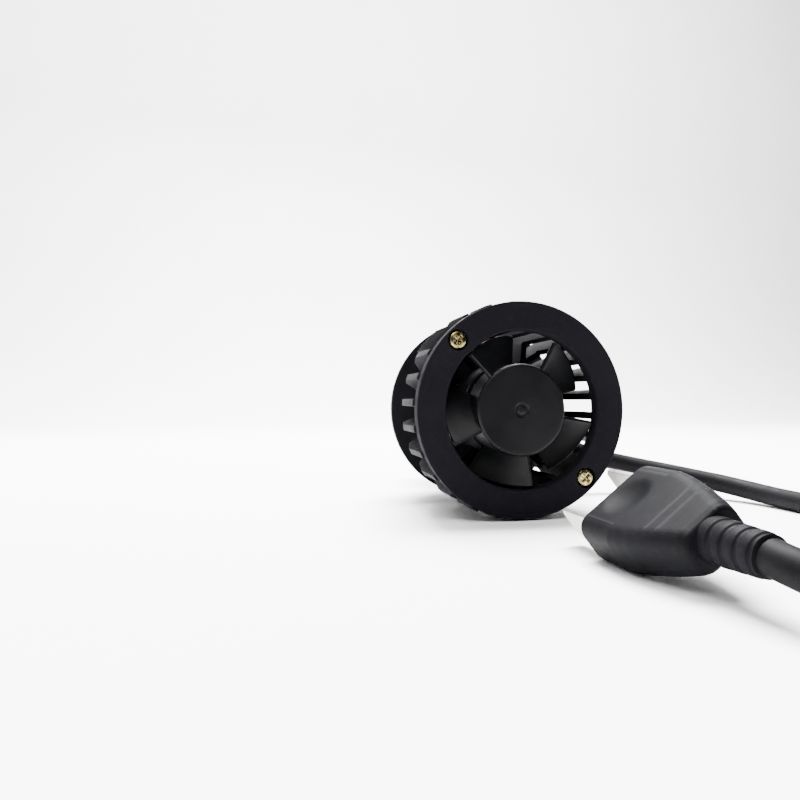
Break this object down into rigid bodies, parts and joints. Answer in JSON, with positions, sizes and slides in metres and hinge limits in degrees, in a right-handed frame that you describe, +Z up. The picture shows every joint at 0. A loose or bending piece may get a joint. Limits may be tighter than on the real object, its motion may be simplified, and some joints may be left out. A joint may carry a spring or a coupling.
{
  "type": "headlight bulb",
  "caption": "Fan-cooled LED headlight bulb with finned heatsink, twist-off mounting collar, flat chip-carrying stem, supply cord and flat-blade plug.",
  "frame": {"origin": "on the surface that the bulb lies on, under the middle of the bulb's box without its cord", "axes": "+Y along the bulb's axis from the fan end to the lamp tip, +Z up, the bulb lying on its side"},
  "size_m": [0.0912, 0.1721, 0.0468],
  "materials": {
    "ring_plastic": "fine-grain moulded ABS",
    "fan_plastic": "satin moulded PBT",
    "black_aluminium": "die cast, black anodised, satin",
    "bare_aluminium": "machined, satin",
    "collar_metal": "turned, satin",
    "screw_metal": "yellow passivated zinc plate",
    "steel": "bright",
    "magnet": "matt",
    "bronze": "sintered",
    "copper": "enamelled wire",
    "circuit_board": "solder-masked",
    "component": "moulded",
    "capacitor": "sleeved",
    "wire_red": "insulated",
    "wire_white": "insulated",
    "light_board": "copper board, bare",
    "phosphor": "yellow phosphor",
    "seal_rubber": "silicone",
    "cord_rubber": "smooth PVC",
    "plug_plastic": "soft moulded PVC",
    "blade_metal": "tin plated"
  },
  "bodies": {
    "root": {"fan_cover_ring": "ring_plastic", "cover_screws": "screw_metal", "bearing_sleeve": "bronze", "stator_core": "steel", "stator_coils": "copper", "fan_pcb": "circuit_board", "fan_base": "fan_plastic", "fan_leads": "wire_red", "heatsink": "black_aluminium", "driver_housing": "black_aluminium", "housing_screws": "steel", "driver_board": "circuit_board", "driver_inductor": "component", "driver_capacitors": "capacitor", "driver_chips": "component", "driver_leads": "wire_white", "lamp_stem": "bare_aluminium", "led_boards": "light_board", "led_chips": "phosphor", "neck_seal": "seal_rubber", "cable_grommet": "cord_rubber", "supply_cord": "cord_rubber", "plug_relief": "plug_plastic", "plug_body": "plug_plastic", "plug_blades": "blade_metal"},
    "rotor": {"impeller": "fan_plastic", "rotor_shaft": "steel", "magnet_ring": "magnet", "rotor_yoke": "steel", "shaft_clip": "steel"},
    "collar": {"mounting_collar": "collar_metal"}
  },
  "joints": [
    {"name": "fan_spin", "type": "hinge", "parent": "root", "child": "rotor", "pos_m": [0, -0.0344, 0.0234], "axis": [0, 1, 0], "continuous": true},
    {"name": "collar_twist", "type": "hinge", "parent": "root", "child": "collar", "pos_m": [0, 0.0067, 0.0234], "axis": [0, 1, 0], "range_deg": [0, 60]}
  ]
}
